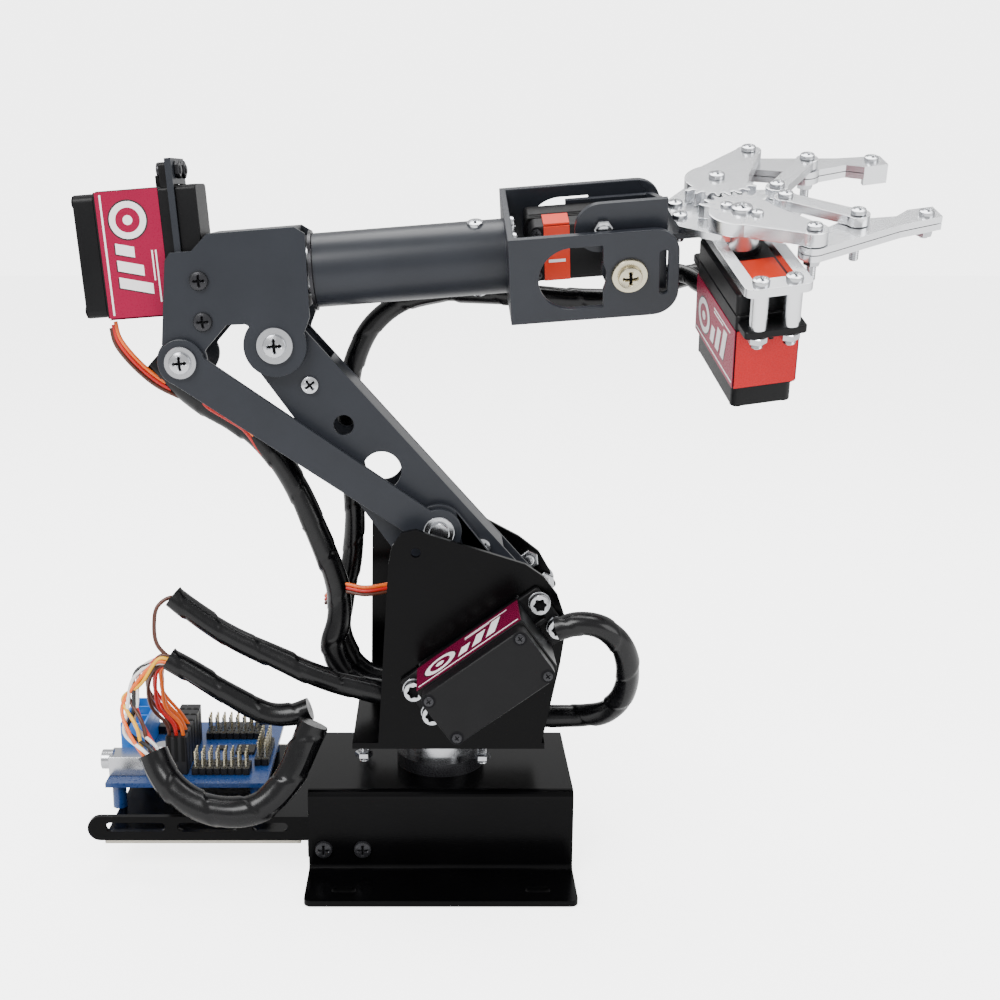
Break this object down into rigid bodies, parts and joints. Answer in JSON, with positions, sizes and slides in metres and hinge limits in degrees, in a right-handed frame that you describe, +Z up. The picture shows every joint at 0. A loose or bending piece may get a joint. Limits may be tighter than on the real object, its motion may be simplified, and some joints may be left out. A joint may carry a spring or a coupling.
{
  "type": "desktop robot arm",
  "caption": "Servo-driven desktop robot arm with a slotted base, turntable, linkage-driven forearm, rolling wrist fork and parallel gripper.",
  "frame": {"origin": "centre of the four mounting slots, on the base's resting face", "axes": "+Z up; +X along the arm towards the gripper; -Y towards the side that carries the crank, link and elbow servo"},
  "size_m": [0.272, 0.1145, 0.2388],
  "materials": {
    "base_steel": "satin-gloss black powder coat",
    "arm_alloy": "fine matte black anodised aluminium",
    "servo_plastic": "moulded black plastic",
    "bright_alloy": "bright machined aluminium",
    "steel_hardware": "bright steel fasteners",
    "dark_hardware": "black steel screws",
    "washer_brass": "dull nickel-brass washer",
    "bearing_steel": "turned steel",
    "board_blue": "blue solder mask",
    "terminal_blue": "moulded blue plastic",
    "plate_cream": "plain cream board",
    "header_pins": "gold-flashed pins",
    "plug_black": "moulded black plastic",
    "sleeve": "glossy black spiral wrap"
  },
  "bodies": {
    "base": {"base_frame": "base_steel", "base_screws": "dark_hardware", "yaw_servo": "servo_plastic", "bearing_housing": "base_steel", "bearing_outer_ring": "bearing_steel", "bearing_cage": "bearing_steel", "board_tray": "base_steel", "board_plate": "plate_cream", "control_board": "board_blue", "terminal_block": "terminal_blue", "power_jack": "steel_hardware", "pin_headers": "header_pins", "servo_plugs": "plug_black", "lower_sleeve": "sleeve", "board_loom": "sleeve"},
    "turntable": {"bearing_inner_ring": "bearing_steel", "yaw_hub": "bright_alloy", "turntable_bracket": "base_steel", "turntable_bolts": "steel_hardware", "elbow_servo": "servo_plastic", "shoulder_servo": "servo_plastic", "arm_servo_screws": "steel_hardware", "upper_sleeve": "sleeve", "side_lead": "sleeve"},
    "upper_arm": {"upper_arm_channel": "arm_alloy", "arm_spacers": "steel_hardware", "shoulder_hub": "bright_alloy", "roll_lead": "sleeve", "wrist_lead": "sleeve"},
    "crank": {"crank": "arm_alloy"},
    "forearm": {"forearm_bracket": "arm_alloy", "pivot_axles": "steel_hardware", "pivot_washers": "steel_hardware", "roll_servo": "servo_plastic", "forearm_screws": "dark_hardware", "tube_bearing": "base_steel"},
    "link": {"link_bar": "arm_alloy", "link_pin": "steel_hardware"},
    "tube": {"forearm_tube": "arm_alloy", "roll_hub": "bright_alloy", "wrist_fork": "arm_alloy", "tube_screws": "steel_hardware", "wrist_pivot": "washer_brass", "wrist_horn": "bright_alloy"},
    "wrist": {"wrist_bracket": "arm_alloy", "wrist_servo": "servo_plastic", "gripper_base": "bright_alloy", "grip_servo_frame": "bright_alloy", "grip_servo": "servo_plastic", "gripper_fasteners": "steel_hardware"},
    "drive_lever": {"drive_lever": "bright_alloy", "grip_horn": "bright_alloy"},
    "driven_lever": {"driven_lever": "bright_alloy"},
    "drive_link": {"drive_link": "bright_alloy"},
    "driven_link": {"driven_link": "bright_alloy"},
    "drive_finger": {"drive_finger": "bright_alloy", "drive_finger_screws": "steel_hardware"},
    "driven_finger": {"driven_finger": "bright_alloy", "driven_finger_screws": "steel_hardware"}
  },
  "joints": [
    {"name": "base_yaw", "type": "hinge", "parent": "base", "child": "turntable", "pos_m": [0, 0, 0.0445], "axis": [0, 0, 1], "range_deg": [-90, 90], "deforming": ["upper_sleeve", "lower_sleeve", "board_loom"]},
    {"name": "shoulder_pitch", "type": "hinge", "parent": "turntable", "child": "upper_arm", "pos_m": [0.0223, 0, 0.0827], "axis": [0, 1, 0], "range_deg": [-15, 45], "deforming": ["roll_lead"]},
    {"name": "elbow_pitch", "type": "hinge", "parent": "upper_arm", "child": "forearm", "pos_m": [-0.0525, 0, 0.1754], "axis": [0, 1, 0], "range_deg": [-25, 2], "deforming": ["wrist_lead"]},
    {"name": "crank_pivot", "type": "hinge", "parent": "upper_arm", "child": "crank", "pos_m": [0.0223, 0, 0.0827], "axis": [0, 1, 0], "range_deg": [-2, 24]},
    {"name": "link_pivot", "type": "hinge", "parent": "forearm", "child": "link", "pos_m": [-0.082, 0, 0.17032], "axis": [0, 1, 0], "range_deg": [-1.2, 12.4]},
    {"name": "forearm_roll", "type": "hinge", "parent": "forearm", "child": "tube", "pos_m": [-0.05416, 0, 0.19704], "axis": [0.9971, 0, 0.0767], "range_deg": [-90, 67]},
    {"name": "wrist_pitch", "type": "hinge", "parent": "tube", "child": "wrist", "pos_m": [0.05761, 0, 0.20564], "axis": [-0.03, 0.9205, 0.3896], "range_deg": [-60, 70]},
    {"name": "gripper_drive", "type": "hinge", "parent": "wrist", "child": "drive_lever", "pos_m": [0.09237, -0.0162, 0.2134], "axis": [-0.0706, -0.3907, 0.9178], "range_deg": [-4, 42]},
    {"name": "driven_lever_pivot", "type": "hinge", "parent": "wrist", "child": "driven_lever", "pos_m": [0.08889, 0.0076, 0.22326], "axis": [-0.0706, -0.3907, 0.9178], "range_deg": [-42.5, 10.5]},
    {"name": "drive_link_pivot", "type": "hinge", "parent": "wrist", "child": "drive_link", "pos_m": [0.10797, -0.00632, 0.2188], "axis": [-0.0706, -0.3907, 0.9178], "range_deg": [-10.5, 42.5]},
    {"name": "driven_link_pivot", "type": "hinge", "parent": "wrist", "child": "driven_link", "pos_m": [0.1069, 0.001, 0.22184], "axis": [-0.0706, -0.3907, 0.9178], "range_deg": [-42.5, 10.5]},
    {"name": "drive_finger_pivot", "type": "hinge", "parent": "drive_lever", "child": "drive_finger", "pos_m": [0.11102, -0.03129, 0.20841], "axis": [-0.0706, -0.3907, 0.9178], "range_deg": [-42.5, 10.5]},
    {"name": "driven_finger_pivot", "type": "hinge", "parent": "driven_lever", "child": "driven_finger", "pos_m": [0.10265, 0.02585, 0.23209], "axis": [-0.0706, -0.3907, 0.9178], "range_deg": [-10.5, 42.5]}
  ],
  "couplings": [
    {"joint": "crank_pivot", "follows": "elbow_pitch", "ratio": -0.9525},
    {"joint": "link_pivot", "follows": "elbow_pitch", "ratio": -0.4832},
    {"joint": "driven_lever_pivot", "follows": "gripper_drive", "ratio": -1},
    {"joint": "drive_link_pivot", "follows": "gripper_drive", "ratio": 1},
    {"joint": "driven_link_pivot", "follows": "gripper_drive", "ratio": -1},
    {"joint": "drive_finger_pivot", "follows": "gripper_drive", "ratio": -1},
    {"joint": "driven_finger_pivot", "follows": "gripper_drive", "ratio": 1}
  ]
}
